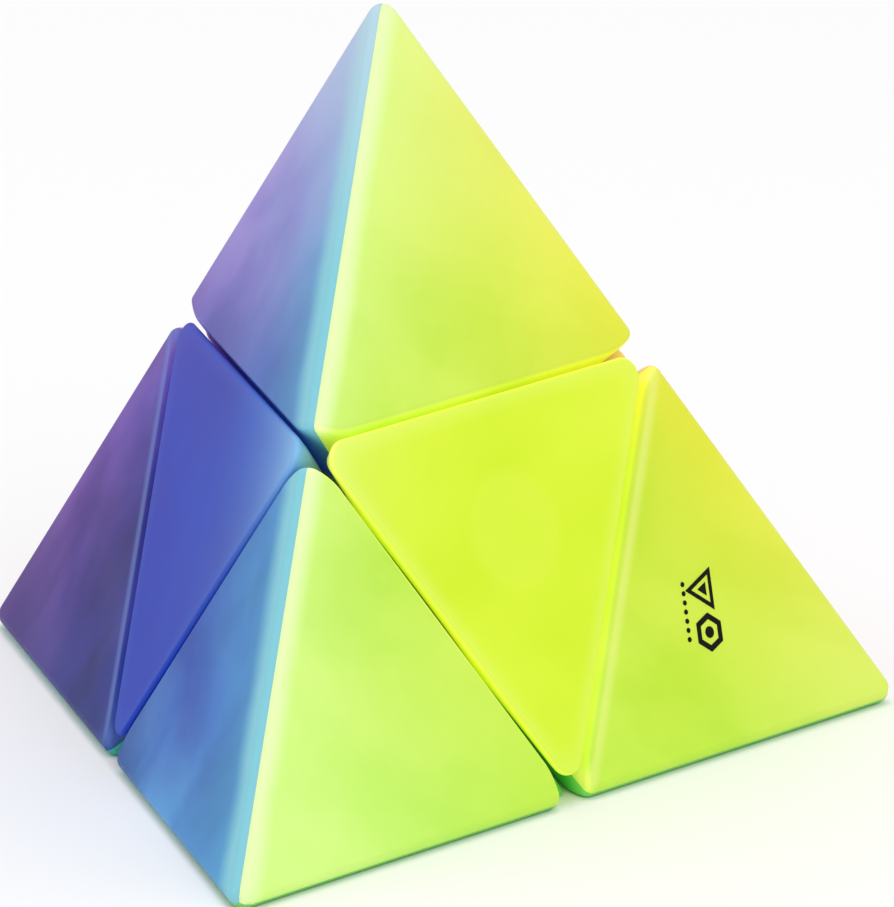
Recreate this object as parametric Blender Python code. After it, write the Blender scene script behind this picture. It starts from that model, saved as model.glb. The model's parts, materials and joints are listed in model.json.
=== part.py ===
"""Two-layer pyramid twisty puzzle: four vertex pieces and four face-centre pieces that turn
about three axes through the middles of opposite edges, held by a spring-loaded inner mechanism.

Every piece is shaped in the turning frame, whose X, Y and Z are the three turning axes and whose
origin is the middle of the puzzle. Finished pieces are then placed with the base face at Z = 0.
Metres throughout, +Z up, the front edge towards -Y.
"""
import math

import bmesh
import bpy
from mathutils import Matrix, Vector

# Whole puzzle
EDGE_LENGTH = 0.0740          # tip to tip, before the tips are rounded
SLIT = 0.0003                 # between pieces that turn past each other
SEAM = 0.00025                # between glued shells of one vertex piece
CLEARANCE = 0.0003            # between parts of the mechanism

# Coloured shells
SHELL_WALL = 0.0018
AXIS_ROUND = 0.0030           # edges of a vertex piece that lie along the turning axes
BORDER_ROUND = 0.0007         # where a cut face of a vertex piece meets a coloured face
EDGE_ROUND = 0.0011           # where two coloured faces of a vertex piece meet
TIP_ROUND = 0.00115           # the four tips of the pyramid
CENTRE_AXIS_ROUND = 0.0012    # edges of a face-centre piece that lie along the turning axes
CENTRE_CORNER_ROUND = 0.0019  # three corners of a centre piece's face, as seen square on
CENTRE_BORDER_ROUND = 0.0003  # where the cut faces of a centre piece meet its coloured face

# Feet: the inner half of each outer piece
DISH_THICKNESS = 0.0015
SEAT_CLEARANCE = 0.0002       # between a dish and the shells glued round it
FIN_THICKNESS = 0.0011        # of the ribs behind the glued seams of a vertex piece
POST_RADIUS = 0.0011          # where the ribs meet
PAD_RADIUS = 0.0049           # round pad behind the face of a face-centre piece

# Tracks, from the outside in
TRACK_THICKNESS = 0.0019
FOOT_THICKNESS = 0.0020
TRACK_SHARE = 0.43            # half width of the outer track over the radius of the foot ball

# Screws, springs and washers
SHANK_RADIUS = 0.0008
HEAD_THICKNESS = 0.0008
HEAD_CHAMFER = 0.00025
RECESS_WIDTH = 0.0004
RECESS_DEPTH = 0.00045
RECESS_SPAN = 1.3             # of the cross over the radius of the head
SCREW_CLEARANCE = 0.0002
SCREW_TIP = 0.0019            # from the middle of the core
TIP_SHARE = 0.3               # radius of the blunt point over the radius of the shank
HOLE_END_GAP = 0.0003         # beyond the tip of a screw
WIRE_RADIUS = 0.0002
SPRING_PLAY = 0.00015         # round the shank, and round the spring in its pocket
SPRING_TURNS = 4
WASHER_THICKNESS = 0.0003
SEAT_GAP = 0.0001             # between a spring, its washer and the screw head

# Centres and core
COLUMN_WALL = 0.0006
COLUMN_FLOOR = 0.0008
FLAT_DEPTH = 0.0012           # of the flats that the turning centres stand on
HEAD_INSET = 0.0006           # of a screw head below the ball that it is sunk in
NECK_INSET = 0.0001           # of an inner edge's neck inside its body and foot
ARM_CAP = 0.0015              # of a fixed centre, over the end of its arm

# Mesh detail
BALL_DETAIL = 3
ROD_SIDES = 20
COIL_STEPS = 12
WIRE_SIDES = 6
BLANK_SIZE = 0.4
CUT_TOLERANCE = 1e-9
MERGE_DISTANCE = 1e-7
FLAT_ANGLE = math.radians(0.05)
SMOOTH_ANGLE = math.radians(35)

# Radii and places that follow from the sizes above
FACE_DISTANCE = EDGE_LENGTH / (2 * math.sqrt(6))
DISH_OUTER = FACE_DISTANCE - SHELL_WALL - CLEARANCE
DISH_INNER = DISH_OUTER - DISH_THICKNESS
TRACK_OUTER = DISH_INNER - CLEARANCE
TRACK_INNER = TRACK_OUTER - TRACK_THICKNESS
FOOT_OUTER = TRACK_INNER - CLEARANCE
FOOT_INNER = FOOT_OUTER - FOOT_THICKNESS
CORE_RADIUS = FOOT_INNER - CLEARANCE
SPRING_RADIUS = SHANK_RADIUS + SPRING_PLAY + 2 * WIRE_RADIUS
HEAD_RADIUS = SPRING_RADIUS
POCKET_RADIUS = SPRING_RADIUS + SPRING_PLAY
COLUMN_RADIUS = POCKET_RADIUS + COLUMN_WALL
ARM_RADIUS = POCKET_RADIUS - SCREW_CLEARANCE
TRACK_HALF = TRACK_SHARE * FOOT_OUTER
FOOT_HALF = COLUMN_RADIUS + CLEARANCE
CORE_FLAT = CORE_RADIUS - FLAT_DEPTH
SPRING_SEAT = CORE_FLAT + CLEARANCE + COLUMN_FLOOR
HEAD_TOP = TRACK_OUTER - HEAD_INSET
FIXED_HEAD_TOP = DISH_OUTER - HEAD_INSET
ARM_END = TRACK_OUTER - ARM_CAP - CLEARANCE

X = Vector((1, 0, 0))
Y = Vector((0, 1, 0))
Z = Vector((0, 0, 1))
DIAGONAL = Vector((1, 1, 1)).normalized()

# The turning axes as they lie in the standing puzzle
AXIS_FRONT = Vector((0, -math.sqrt(2 / 3), math.sqrt(1 / 3)))
AXIS_RIGHT = Vector((math.sqrt(1 / 2), math.sqrt(1 / 6), math.sqrt(1 / 3)))
AXIS_LEFT = Vector((-math.sqrt(1 / 2), math.sqrt(1 / 6), math.sqrt(1 / 3)))
STANDING = (Matrix.Translation((0, 0, FACE_DISTANCE))
            @ Matrix((AXIS_FRONT, AXIS_RIGHT, AXIS_LEFT)).transposed().to_4x4())

# Where the six ends of the axes come out of the pyramid
POSITIVE_ENDS = ("front", "right", "left")
NEGATIVE_ENDS = ("base_back", "base_left", "base_right")

# Groups of pieces that turn together, by the numbers of the axes they lie beyond
BODY_NAMES = {
    (): "base",
    (0,): "front_layer",
    (1,): "right_layer",
    (2,): "left_layer",
    (0, 1): "front_right_quarter",
    (0, 2): "front_left_quarter",
    (1, 2): "right_left_quarter",
    (0, 1, 2): "apex_corner",
}

# Turns that carry the apex and the base centre piece to the other places
HOMES = {
    "apex": Matrix.Identity(4),
    "front": Matrix.Rotation(math.pi, 4, "X"),
    "right": Matrix.Rotation(math.pi, 4, "Y"),
    "left": Matrix.Rotation(math.pi, 4, "Z"),
}
# Front axis to right axis, right to left, left to front: none, one and two steps
CYCLES = [Matrix.Rotation(math.tau * step / 3, 4, DIAGONAL) for step in range(3)]

COLOURS = {
    "lime": (0.66, 0.90, 0.10),
    "blue": (0.10, 0.22, 0.62),
    "rose": (0.85, 0.16, 0.36),
    "green": (0.03, 0.58, 0.22),
    "milky": (0.80, 0.84, 0.82),
    "steel": (0.62, 0.63, 0.65),
}
FACE_COLOURS = {(1, 1, -1): "lime", (1, -1, 1): "blue", (-1, 1, 1): "rose", (-1, -1, -1): "green"}


# ---------------------------------------------------------------- shapes

def to_mesh(shape):
    """Turn a bmesh into a mesh, with flat areas merged and faces pointing out."""
    bmesh.ops.remove_doubles(shape, verts=shape.verts, dist=MERGE_DISTANCE)
    bmesh.ops.dissolve_limit(shape, angle_limit=FLAT_ANGLE, verts=shape.verts, edges=shape.edges)
    bmesh.ops.recalc_face_normals(shape, faces=shape.faces)
    mesh = bpy.data.meshes.new("shape")
    shape.to_mesh(mesh)
    shape.free()
    return mesh


def carve(planes):
    """The convex solid inside all planes, each given as (outward normal, distance)."""
    shape = bmesh.new()
    bmesh.ops.create_cube(shape, size=BLANK_SIZE)
    for normal, distance in planes:
        cut = bmesh.ops.bisect_plane(
            shape, geom=shape.verts[:] + shape.edges[:] + shape.faces[:], dist=CUT_TOLERANCE,
            plane_co=normal * distance, plane_no=normal, clear_outer=True)
        rim = [item for item in cut["geom_cut"] if isinstance(item, bmesh.types.BMEdge)]
        if rim:
            bmesh.ops.contextual_create(shape, geom=rim)
    return to_mesh(shape)


def ball(radius):
    shape = bmesh.new()
    bmesh.ops.create_icosphere(shape, subdivisions=BALL_DETAIL, radius=radius)
    return to_mesh(shape)


def rod(axis, radius, start, end):
    """A cylinder along an axis through the middle, from one distance to another."""
    shape = bmesh.new()
    place = axis.to_track_quat("Z", "Y").to_matrix().to_4x4()
    bmesh.ops.create_cone(
        shape, cap_ends=True, segments=ROD_SIDES, radius1=radius, radius2=radius,
        depth=end - start, matrix=place @ Matrix.Translation((0, 0, (start + end) / 2)))
    return to_mesh(shape)


def turned(axis, profile):
    """A solid turned about an axis, from (radius, distance) points along its outline."""
    shape = bmesh.new()
    place = axis.to_track_quat("Z", "Y").to_matrix().to_4x4()
    rings = []
    for radius, distance in profile:
        ring = [shape.verts.new(place @ Vector((radius * math.cos(math.tau * side / ROD_SIDES),
                                                radius * math.sin(math.tau * side / ROD_SIDES),
                                                distance)))
                for side in range(ROD_SIDES)]
        rings.append(ring)
    join_rings(shape, rings)
    return to_mesh(shape)


def join_rings(shape, rings):
    """Faces between each ring of points and the next, and over both ends."""
    for near, far in zip(rings, rings[1:]):
        for side, corner in enumerate(near):
            after = (side + 1) % len(near)
            shape.faces.new((corner, near[after], far[after], far[side]))
    shape.faces.new(rings[0])
    shape.faces.new(rings[-1])


def cross_bar(axis, end, turn):
    """One bar of the cross recess in the head of a screw whose top is at the given distance."""
    shape = bmesh.new()
    place = axis.to_track_quat("Z", "Y").to_matrix().to_4x4() @ Matrix.Translation((0, 0, end))
    size = Matrix.Diagonal((RECESS_WIDTH, HEAD_RADIUS * RECESS_SPAN, RECESS_DEPTH * 2, 1))
    bmesh.ops.create_cube(shape, size=1, matrix=place @ Matrix.Rotation(turn, 4, "Z") @ size)
    return to_mesh(shape)


def coil(radius, start, end):
    """A helical spring along X, as a wire of constant thickness with flat ends."""
    shape = bmesh.new()
    steps = SPRING_TURNS * COIL_STEPS
    middle_radius = radius - WIRE_RADIUS
    rings = []
    for step in range(steps + 1):
        angle = math.tau * step / COIL_STEPS
        outward = Vector((0, math.cos(angle), math.sin(angle)))
        along = start + WIRE_RADIUS + (end - start - 2 * WIRE_RADIUS) * step / steps
        ring = []
        for side in range(WIRE_SIDES):
            turn = math.tau * side / WIRE_SIDES
            offset = outward * math.cos(turn) + X * math.sin(turn)
            ring.append(shape.verts.new(X * along + outward * middle_radius + offset * WIRE_RADIUS))
        rings.append(ring)
    join_rings(shape, rings)
    return to_mesh(shape)


def combine(base, operation, *tools):
    """Boolean of a mesh with each tool mesh in turn. All of them are used up."""
    body = bpy.data.objects.new("blank", base)
    bpy.context.collection.objects.link(body)
    helpers = []
    for tool in tools:
        helper = bpy.data.objects.new("cutter", tool)
        bpy.context.collection.objects.link(helper)
        helpers.append(helper)
        modifier = body.modifiers.new("combine", "BOOLEAN")
        modifier.operation = operation
        modifier.solver = "EXACT"
        modifier.object = helper
    bpy.context.view_layer.update()
    evaluated = body.evaluated_get(bpy.context.evaluated_depsgraph_get())
    result = bpy.data.meshes.new_from_object(evaluated)
    for item in [body] + helpers:
        bpy.data.objects.remove(item)
    shape = bmesh.new()
    shape.from_mesh(result)
    bpy.data.meshes.remove(result)
    return to_mesh(shape)


def shell_between(planes, inner, outer):
    """The part of a spherical shell that lies inside the planes."""
    solid = combine(carve(planes), "INTERSECT", ball(outer))
    return combine(solid, "DIFFERENCE", ball(inner))


# ---------------------------------------------------------------- planes

def beyond(axis, distance):
    """The side of a plane that lies further out along an axis."""
    return -axis, -distance


def within(axis, distance):
    """Both sides of a slab of the given half width."""
    return [(axis, distance), (-axis, distance)]


def rolled(first, second, radius, steps):
    """Planes tangent to the fillet between two planes."""
    (normal_a, distance_a), (normal_b, distance_b) = first, second
    cosine = normal_a.dot(normal_b)
    share = 1 - cosine * cosine
    reach_a = ((distance_a - radius) - cosine * (distance_b - radius)) / share
    reach_b = ((distance_b - radius) - cosine * (distance_a - radius)) / share
    centre = normal_a * reach_a + normal_b * reach_b
    tangents = []
    for step in range(1, steps + 1):
        normal = normal_a.slerp(normal_b, step / (steps + 1))
        tangents.append((normal, normal.dot(centre) + radius))
    return tangents


def vertex_planes(inset):
    """Cut faces and coloured faces of the apex piece, moved inwards by a wall."""
    cuts = [beyond(axis, SLIT / 2 + inset) for axis in (X, Y, Z)]
    faces = [((DIAGONAL * math.sqrt(3) - 2 * axis).normalized(), FACE_DISTANCE - inset)
             for axis in (X, Y, Z)]
    return cuts, faces


def centre_planes(inset):
    """Cut faces and the coloured face of the base centre piece, moved inwards by a wall."""
    cuts = [beyond(-axis, SLIT / 2 + inset) for axis in (X, Y, Z)]
    return cuts, [(-DIAGONAL, FACE_DISTANCE - inset)]


# ---------------------------------------------------------------- outer pieces

def rolled_pairs(planes, radius, steps):
    """Fillets between each plane and the next, the last one with the first."""
    tangents = []
    for first, second in zip(planes, planes[1:] + planes[:1]):
        tangents += rolled(first, second, radius, steps)
    return tangents


def vertex_outside():
    """All planes of the apex piece, with its rounded edges and tip."""
    cuts, faces = vertex_planes(0)
    planes = cuts + faces
    planes += rolled_pairs(cuts, AXIS_ROUND, 3) + rolled_pairs(faces, EDGE_ROUND, 2)
    for cut, face in zip(cuts, faces):
        planes += rolled(cut, face, BORDER_ROUND, 1)
    tip_centre = DIAGONAL * 3 * (FACE_DISTANCE - TIP_ROUND)
    tips = [DIAGONAL]
    for normal, _ in faces:
        tips.append((DIAGONAL + normal).normalized())
        tips.append((DIAGONAL * 2 - normal).normalized())
    return planes + [(normal, normal.dot(tip_centre) + TIP_ROUND) for normal in tips]


def corner_sides(cuts, face, steps):
    """Planes round each corner of a face, leaning in by as much as the cuts beside it."""
    face_normal, face_distance = face
    sides = []
    for first, second in zip(cuts, cuts[1:] + cuts[:1]):
        sink = first[0].dot(face_normal)
        lean = math.sqrt(1 - sink * sink)
        centre = Matrix((first[0], second[0], face_normal)).inverted() @ Vector((
            first[1] - CENTRE_CORNER_ROUND * lean, second[1] - CENTRE_CORNER_ROUND * lean,
            face_distance))
        flat_a = (first[0] - face_normal * sink).normalized()
        flat_b = (second[0] - face_normal * sink).normalized()
        for step in range(1, steps + 1):
            flat = flat_a.slerp(flat_b, step / (steps + 1))
            normal = flat * lean + face_normal * sink
            sides.append((normal, normal.dot(centre) + CENTRE_CORNER_ROUND * lean))
    return sides


def centre_outside():
    """All planes of the base centre piece, with its rounded edges and corners."""
    cuts, faces = centre_planes(0)
    sides = cuts + corner_sides(cuts, faces[0], 3)
    planes = sides + faces + rolled_pairs(cuts, CENTRE_AXIS_ROUND, 3)
    for side in sides:
        planes += rolled(side, faces[0], CENTRE_BORDER_ROUND, 2)
    return planes


def hollow(outside, cuts, faces):
    """An outer shape with its hollow and the round seat of its dish taken out."""
    return combine(carve(outside), "DIFFERENCE", carve(cuts + faces),
                   ball(DISH_OUTER + SEAT_CLEARANCE))


def vertex_shell():
    """The shell of the apex piece that lies against the cut across Z, with its coloured face."""
    seams = [((Z - axis).normalized(), -SEAM / 2) for axis in (X, Y)]
    return hollow(vertex_outside() + seams, *vertex_planes(SHELL_WALL))


def centre_shell():
    """The one coloured shell of the base centre piece."""
    return hollow(centre_outside(), *centre_planes(SHELL_WALL))


def octant(side, distance):
    """The corner of space beyond three planes across the axes."""
    return [beyond(side * axis, distance) for axis in (X, Y, Z)]


def dish(side):
    cuts = octant(side, SLIT / 2)
    return shell_between(cuts + rolled_pairs(cuts, AXIS_ROUND, 3), DISH_INNER, DISH_OUTER)


def stalk(side):
    return shell_between(octant(side, TRACK_HALF + CLEARANCE / 2),
                         FOOT_OUTER - FOOT_THICKNESS / 2, DISH_INNER + DISH_THICKNESS / 2)


def toe(side):
    return shell_between(octant(side, FOOT_HALF + CLEARANCE / 2), FOOT_INNER, FOOT_OUTER)


def fin(across, outward):
    """A flat rib behind one glued seam of the apex piece, from the post outwards."""
    cuts, faces = vertex_planes(SHELL_WALL + CLEARANCE)
    return carve(cuts + faces + within(across, FIN_THICKNESS / 2)
                 + [beyond(outward, POST_RADIUS / 2), beyond(DIAGONAL, DISH_INNER)])


def vertex_foot():
    """Dish, stalk and toe of the apex piece, with a post and three fins behind its seams."""
    post_top = 3 * (FACE_DISTANCE - SHELL_WALL - CLEARANCE - POST_RADIUS)
    post = rod(DIAGONAL, POST_RADIUS, DISH_INNER + DISH_THICKNESS / 3, post_top)
    fins = [fin((first - second).normalized(), (2 * third - first - second).normalized())
            for first, second, third in ((X, Y, Z), (Y, Z, X), (Z, X, Y))]
    return combine(dish(1), "UNION", stalk(1), toe(1), post, *fins)


def centre_foot():
    """Dish, pad, stalk and toe of the base centre piece. The pad stays inside the shell's walls."""
    pad = combine(rod(-DIAGONAL, PAD_RADIUS, DISH_INNER + DISH_THICKNESS / 2, DISH_OUTER),
                  "INTERSECT", carve(octant(-1, SLIT / 2 + SHELL_WALL + CLEARANCE)))
    return combine(dish(-1), "UNION", pad, stalk(-1), toe(-1))


def fixed_foot():
    """The foot of the base centre piece, drilled for the screw that fixes it to the core."""
    head_seat = FIXED_HEAD_TOP - HEAD_THICKNESS
    return combine(centre_foot(), "DIFFERENCE",
                   rod(-DIAGONAL, POCKET_RADIUS, head_seat - CLEARANCE, FACE_DISTANCE),
                   rod(-DIAGONAL, SHANK_RADIUS + SCREW_CLEARANCE, SCREW_TIP, head_seat))


# ---------------------------------------------------------------- mechanism

def inner_edge():
    """The sliding piece between the front and right axes: body, neck and foot."""
    outside = TRACK_HALF + CLEARANCE / 2
    inside = FOOT_HALF - CLEARANCE / 2
    body = [beyond(X, outside), beyond(Y, outside)] + within(Z, TRACK_HALF - CLEARANCE / 2)
    neck = [beyond(X, outside + NECK_INSET), beyond(Y, outside + NECK_INSET)]
    neck += within(Z, inside - NECK_INSET)
    foot = [beyond(X, FOOT_HALF + CLEARANCE / 2), beyond(Y, FOOT_HALF + CLEARANCE / 2)]
    foot += within(Z, inside)
    return combine(
        shell_between(body, TRACK_INNER, TRACK_OUTER), "UNION",
        shell_between(neck, FOOT_OUTER - FOOT_THICKNESS / 2, TRACK_INNER + TRACK_THICKNESS / 2),
        shell_between(foot, FOOT_INNER, FOOT_OUTER))


def base_inner_edge():
    """An inner edge beside the fixed corner, kept clear of the screw that passes it."""
    towards_screw = (X + Y - Z).normalized()
    return combine(inner_edge(), "DIFFERENCE",
                   rod(towards_screw, SHANK_RADIUS + SCREW_CLEARANCE, SCREW_TIP, FACE_DISTANCE))


def centre_cap(column_start):
    """The head of a centre piece on the front axis, with its column."""
    half = TRACK_HALF - CLEARANCE / 2
    head = shell_between([beyond(X, 0)] + within(Y, half) + within(Z, half),
                         TRACK_INNER, TRACK_OUTER)
    column = rod(X, COLUMN_RADIUS, column_start, TRACK_INNER + TRACK_THICKNESS / 2)
    return combine(head, "UNION", column)


def turning_centre():
    """The front centre: a pocket for its spring, and a hole for its screw."""
    return combine(centre_cap(CORE_FLAT + CLEARANCE), "DIFFERENCE",
                   rod(X, POCKET_RADIUS, SPRING_SEAT, FACE_DISTANCE),
                   rod(X, SHANK_RADIUS + SCREW_CLEARANCE, CORE_FLAT, SPRING_SEAT + CLEARANCE))


def fixed_centre():
    """A centre that is pushed over an arm of the core."""
    return combine(centre_cap(CORE_RADIUS + CLEARANCE), "DIFFERENCE",
                   rod(X, ARM_RADIUS + SCREW_CLEARANCE, CORE_FLAT, ARM_END + CLEARANCE))


def core():
    """Ball with three flats and screw holes in front, and three arms behind."""
    solid = combine(carve([(axis, CORE_FLAT) for axis in (X, Y, Z)]), "INTERSECT",
                    ball(CORE_RADIUS))
    solid = combine(solid, "UNION", *[rod(-axis, ARM_RADIUS, CORE_FLAT, ARM_END)
                                      for axis in (X, Y, Z)])
    return combine(solid, "DIFFERENCE", *[
        rod(axis, SHANK_RADIUS + SCREW_CLEARANCE, SCREW_TIP - HOLE_END_GAP, CORE_RADIUS * 2)
        for axis in (X, Y, Z, -DIAGONAL)])


def screw(axis, top):
    """A pan-head screw with a pointed tip and a cross recess, its head's top at a distance."""
    underside = top - HEAD_THICKNESS
    solid = turned(axis, [
        (SHANK_RADIUS * TIP_SHARE, SCREW_TIP),
        (SHANK_RADIUS, SCREW_TIP + SHANK_RADIUS),
        (SHANK_RADIUS, underside),
        (HEAD_RADIUS, underside),
        (HEAD_RADIUS, top - HEAD_CHAMFER),
        (HEAD_RADIUS - HEAD_CHAMFER, top)])
    return combine(solid, "DIFFERENCE", cross_bar(axis, top, 0), cross_bar(axis, top, math.pi / 2))


def washer():
    top = HEAD_TOP - HEAD_THICKNESS - SEAT_GAP
    hole = rod(X, SHANK_RADIUS + SCREW_CLEARANCE, top - WASHER_THICKNESS * 2, top * 2)
    return combine(rod(X, HEAD_RADIUS, top - WASHER_THICKNESS, top), "DIFFERENCE", hole)


def spring():
    top = HEAD_TOP - HEAD_THICKNESS - WASHER_THICKNESS - SEAT_GAP * 2
    return coil(SPRING_RADIUS, SPRING_SEAT + SEAT_GAP, top)


# ---------------------------------------------------------------- assembly

def material(colour):
    """The plastic or steel of one colour, made once."""
    found = bpy.data.materials.get(colour)
    if found:
        return found
    made = bpy.data.materials.new(colour)
    made.use_nodes = True
    shader = made.node_tree.nodes["Principled BSDF"]
    metal = colour == "steel"
    shader.inputs["Base Color"].default_value = (*COLOURS[colour], 1)
    shader.inputs["Metallic"].default_value = 1 if metal else 0
    shader.inputs["Roughness"].default_value = 0.3 if metal else 0.35
    made.diffuse_color = (*COLOURS[colour], 1)
    return made


def turning_bodies():
    """One empty for each group of pieces that turns together, by the axes it lies beyond."""
    bodies = {}
    for axes, name in BODY_NAMES.items():
        empty = bpy.data.objects.new(name, None)
        empty.empty_display_size = FACE_DISTANCE
        bpy.context.collection.objects.link(empty)
        bodies[axes] = empty
        if axes:
            empty.parent = bodies[axes[:-1]]
        else:
            empty.location = (0, 0, FACE_DISTANCE)
    bpy.context.view_layer.update()
    return bodies


def add_piece(bodies, name, mesh, turn, place, colour):
    """Put a piece in its body. Its place tells which turning axes it lies beyond."""
    own_mesh = mesh.copy()
    own_mesh.name = name
    own_mesh.materials.append(material(colour))
    own_mesh.shade_smooth()
    own_mesh.set_sharp_from_angle(angle=SMOOTH_ANGLE)
    piece = bpy.data.objects.new(name, own_mesh)
    bpy.context.collection.objects.link(piece)
    piece.parent = bodies[tuple(i for i in range(3) if place[i] > 0.5)]
    piece.matrix_world = STANDING @ turn


def place_name(place):
    """The ends of the axes that a piece lies towards, such as front_right."""
    return "_".join((POSITIVE_ENDS if place[i] > 0 else NEGATIVE_ENDS)[i]
                    for i in range(3) if abs(place[i]) > 0.5)


def face_colour(direction):
    return FACE_COLOURS[tuple(round(value) for value in direction)]


def add_outer_pieces(bodies):
    shell, foot = vertex_shell(), vertex_foot()
    face_shell, face_foot, base_foot = centre_shell(), centre_foot(), fixed_foot()
    corner = Vector((1, 1, 1))
    for vertex_name, home in HOMES.items():
        place = home @ corner
        add_piece(bodies, vertex_name + "_foot", foot, home, place, "milky")
        for cycle in CYCLES:
            turn = home @ cycle
            colour = face_colour(turn @ Vector((1, 1, -1)))
            add_piece(bodies, f"{vertex_name}_shell_{colour}", shell, turn, place, colour)
        colour = face_colour(-place)
        own_foot = base_foot if colour == "green" else face_foot
        add_piece(bodies, colour + "_centre_shell", face_shell, home, -place, colour)
        add_piece(bodies, colour + "_centre_foot", own_foot, home, -place, "milky")


def add_mechanism(bodies):
    middle = Vector((0, 0, 0))
    add_piece(bodies, "core", core(), CYCLES[0], middle, "milky")
    add_piece(bodies, "base_fixing_screw", screw(-DIAGONAL, FIXED_HEAD_TOP), CYCLES[0], middle, "steel")

    edge, base_edge = inner_edge(), base_inner_edge()
    for cycle in CYCLES:
        for quarter in range(4):
            turn = cycle @ Matrix.Rotation(math.tau * quarter / 4, 4, "Z")
            place = turn @ Vector((1, 1, 0))
            mesh = base_edge if max(place) < 0.5 else edge
            add_piece(bodies, "inner_edge_" + place_name(place), mesh, turn, place, "milky")

    sprung, fixed = turning_centre(), fixed_centre()
    hardware = {"screw": screw(X, HEAD_TOP), "washer": washer(), "spring": spring()}
    half_turn = Matrix.Rotation(math.pi, 4, "Z")
    for cycle in CYCLES:
        end = cycle @ X
        add_piece(bodies, "turning_centre_" + place_name(end), sprung, cycle, end, "milky")
        add_piece(bodies, "fixed_centre_" + place_name(-end), fixed, cycle @ half_turn, -end, "milky")
        for kind, mesh in hardware.items():
            add_piece(bodies, f"{kind}_{place_name(end)}", mesh, cycle, middle, "steel")


def build():
    for item in list(bpy.data.objects):
        bpy.data.objects.remove(item)
    bodies = turning_bodies()
    add_outer_pieces(bodies)
    add_mechanism(bodies)


build()
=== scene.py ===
"""Looks of the two-layer pyramid twisty puzzle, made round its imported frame.

Shells are shaped in the turning frame, whose X, Y and Z are the three turning axes and whose
origin is the middle of the puzzle, and are then put in place with the base face at Z = 0.
"""

import json
import math

import bpy
from mathutils import Matrix, Vector

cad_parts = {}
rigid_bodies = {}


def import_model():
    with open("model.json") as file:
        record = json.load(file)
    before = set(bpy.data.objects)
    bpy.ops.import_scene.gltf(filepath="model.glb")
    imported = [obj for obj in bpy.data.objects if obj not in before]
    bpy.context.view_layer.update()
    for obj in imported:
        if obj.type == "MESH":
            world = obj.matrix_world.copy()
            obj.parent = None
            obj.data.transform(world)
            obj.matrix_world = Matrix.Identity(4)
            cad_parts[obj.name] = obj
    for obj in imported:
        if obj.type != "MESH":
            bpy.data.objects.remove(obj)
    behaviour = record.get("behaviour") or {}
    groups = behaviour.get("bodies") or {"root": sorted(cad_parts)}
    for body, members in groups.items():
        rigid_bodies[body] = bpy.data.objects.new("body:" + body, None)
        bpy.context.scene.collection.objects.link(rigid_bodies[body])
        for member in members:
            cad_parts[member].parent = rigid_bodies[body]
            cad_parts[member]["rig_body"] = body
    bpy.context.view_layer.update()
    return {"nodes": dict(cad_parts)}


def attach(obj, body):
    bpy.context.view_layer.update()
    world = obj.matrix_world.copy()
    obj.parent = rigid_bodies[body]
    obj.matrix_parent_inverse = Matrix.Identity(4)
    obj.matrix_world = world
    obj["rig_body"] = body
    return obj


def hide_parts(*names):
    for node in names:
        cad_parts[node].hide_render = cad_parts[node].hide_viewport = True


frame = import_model()

# Sizes of the puzzle, in metres
EDGE_LENGTH = 0.0740
SLIT = 0.0003
SEAM = 0.00001                # between glued shells of one vertex piece
SHELL_WALL = 0.0018
AXIS_ROUND = 0.0030           # edges of a vertex piece that lie along the turning axes
BORDER_ROUND = 0.0007         # where a cut face of a vertex piece meets a coloured face
EDGE_ROUND = 0.0011           # where two coloured faces of a vertex piece meet
TIP_ROUND = 0.00115           # the four tips of the pyramid
CENTRE_AXIS_ROUND = 0.0012    # edges of a face-centre piece that lie along the turning axes
CENTRE_CORNER_ROUND = 0.0019  # three corners of a centre piece's face, as seen square on
CENTRE_BORDER_ROUND = 0.0003  # where the cut faces of a centre piece meet its coloured face
SEAT_RADIUS = 0.013205        # round hollow for the dish of a foot
PAD_RADIUS = 0.0049           # round pad behind the face of a face-centre piece
FACE_DISTANCE = EDGE_LENGTH / (2 * math.sqrt(6))

# The printed mark, measured from the middle of the lime face
MARK_DOWN = 0.0101
MARK_ACROSS = 0.0175
MARK_TURN = math.radians(-8)
MARK_SUNK = 0.00001
MARK_PROUD = 0.00003
MARK_TRIANGLE_SPOT = (0.0, 0.0017)
MARK_HEXAGON_SPOT = (0.0001, -0.0016)
MARK_DOTS = 7
MARK_DOT_RADIUS = 0.00020
MARK_DOT_ACROSS = -0.0021
MARK_DOT_TOP = 0.0022
MARK_DOT_STEP = 0.0007

# Fineness of the roundings
AXIS_STEPS = 9
EDGE_STEPS = 9
TIP_STEPS = 7
CORNER_STEPS = 9
BORDER_FACET = math.radians(15)
BALL_DETAIL = 5
CUT_SIDE = -0.6               # planes that lean this far to the cut across Z border its face
TOP_SIDE = 0.5                # planes that lean this far to the coloured face belong to it
FLAT_FACE_WEIGHT = 100        # of large faces over small ones, in the shading

BLANK_SIZE = 0.3
CUT_TOLERANCE = 1e-7
MERGE_DISTANCE = 2e-6
SMOOTH_ANGLE = math.radians(24)

# Painted glow: how the neighbours' colours shine in. Fades start and end at shares of a band's width.
GLOW_WAVER = 0.5
BAND_WAVER = 0.2
BAND_FADE = (0.45, 1.35)
CLOSE_FADE = (0.5, 1.0)       # towards the face beside an end, over the reach

# Light in the slits: where a wall turns away from its own face, and how deep it reaches
WALL_TURN = (0.60, 0.95)
WALL_DEPTH = (0.0002, 0.0010)

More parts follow.
